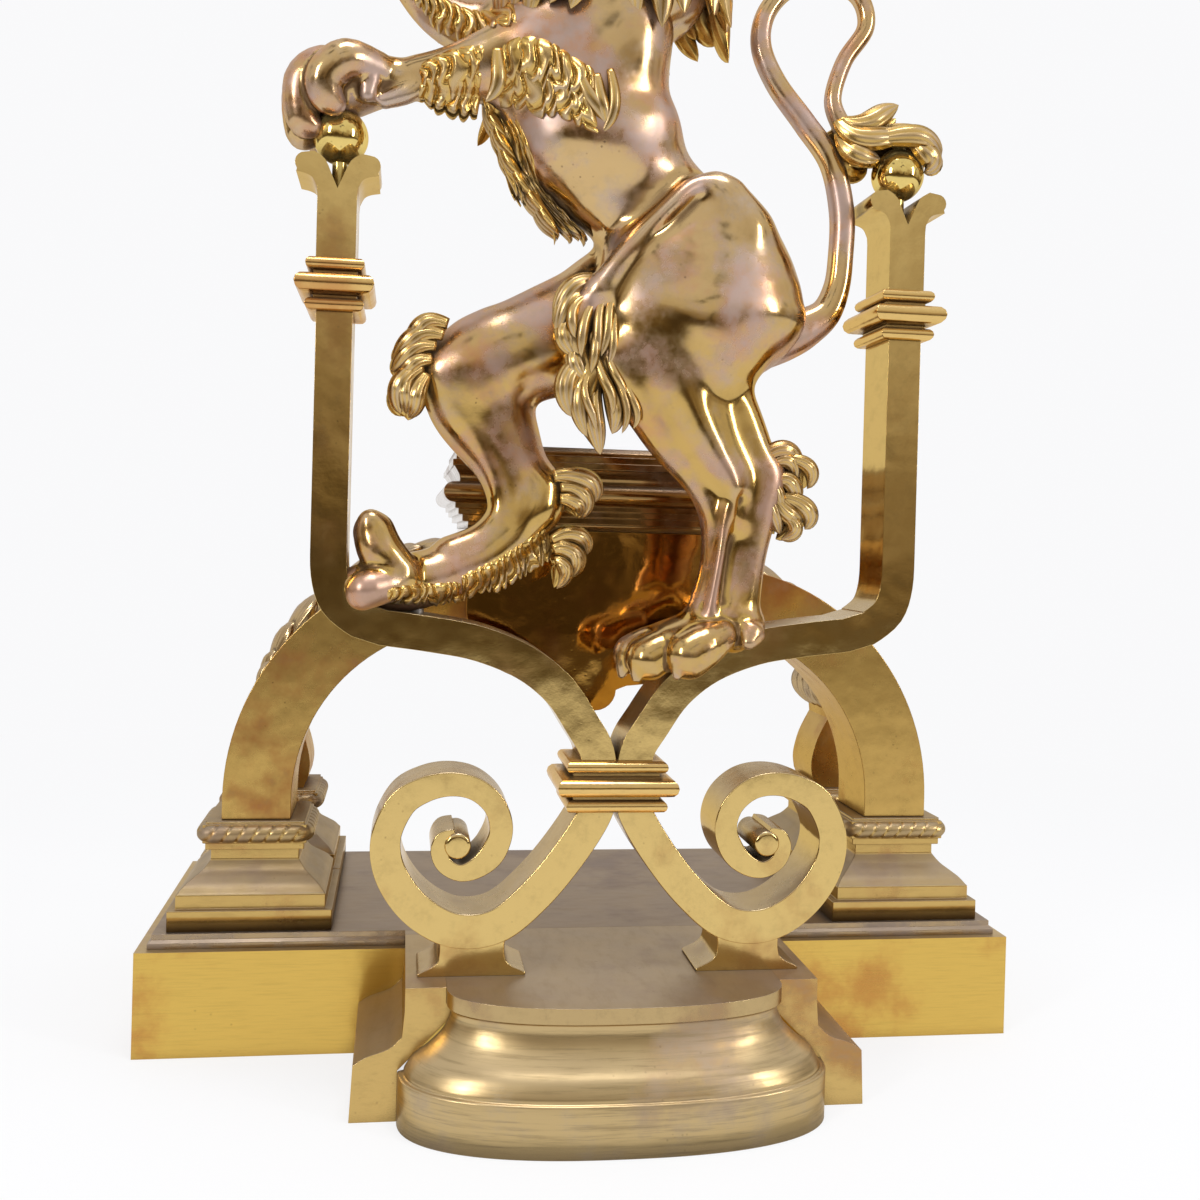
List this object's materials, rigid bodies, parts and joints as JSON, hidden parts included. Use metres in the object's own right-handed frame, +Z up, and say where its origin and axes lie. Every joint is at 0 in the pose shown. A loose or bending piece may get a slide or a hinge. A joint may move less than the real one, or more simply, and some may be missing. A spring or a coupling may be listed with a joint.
{
  "type": "andiron",
  "caption": "Brass andiron with a rampant lion in a scrolled frame, standing before an arched keystone on a moulded pedestal base.",
  "frame": {"origin": "on the floor, under the middle of the footprint's bounding box", "axes": "+Z up, -Y towards the viewer (the bowed front), +X to the viewer's right"},
  "size_m": [0.52, 0.349, 0.7054],
  "materials": {
    "base_brass": "worn cast brass with orange-brown stains",
    "dull_brass": "dull greyish-mauve tarnished brass",
    "dark_brass": "dark polished brass",
    "frame_brass": "polished olive-yellow brass with light scratches",
    "lion_bronze": "silvery worn bronze with copper-pink patches and gold in the fur",
    "steel": "plain steel"
  },
  "bodies": {
    "root": {"base_casting": "base_brass", "base_top_plate": "dull_brass", "platform_plate": "dull_brass", "bracket_left": "base_brass", "bracket_right": "base_brass", "bow_front": "base_brass", "pedestal_front_left": "base_brass", "pedestal_front_right": "base_brass", "pedestal_rear_left": "base_brass", "pedestal_rear_right": "base_brass", "front_arch": "base_brass", "rear_scroll_left": "base_brass", "rear_scroll_right": "base_brass", "acanthus_left": "dull_brass", "acanthus_right": "dull_brass", "keystone_plaque": "dark_brass", "crown_block": "dark_brass", "cornice": "dark_brass", "foot_scroll_left": "frame_brass", "foot_scroll_right": "frame_brass", "middle_collar": "base_brass", "frame_arm_left": "frame_brass", "frame_arm_right": "frame_brass", "upright_collar_left": "base_brass", "upright_collar_right": "base_brass", "split_head_left": "frame_brass", "split_head_right": "frame_brass", "ball_left": "base_brass", "ball_right": "base_brass", "lion_body": "lion_bronze", "lion_head": "lion_bronze", "lion_near_foreleg": "lion_bronze", "lion_far_foreleg": "lion_bronze", "lion_near_hind_leg": "lion_bronze", "lion_far_hind_leg": "lion_bronze", "lion_tail": "lion_bronze", "tail_tuft": "lion_bronze", "tie_rods": "steel", "tie_rod_nuts": "steel", "tie_rod_washers": "steel", "platform_screws": "steel", "bracket_screws": "steel", "frame_foot_screws": "steel", "keystone_bolts": "steel", "keystone_nuts": "steel", "cornice_screws": "steel", "crown_dowels": "steel", "collar_pins": "steel", "upright_dowels": "steel", "ball_studs": "steel", "lion_foot_dowels": "steel"}
  },
  "joints": []
}
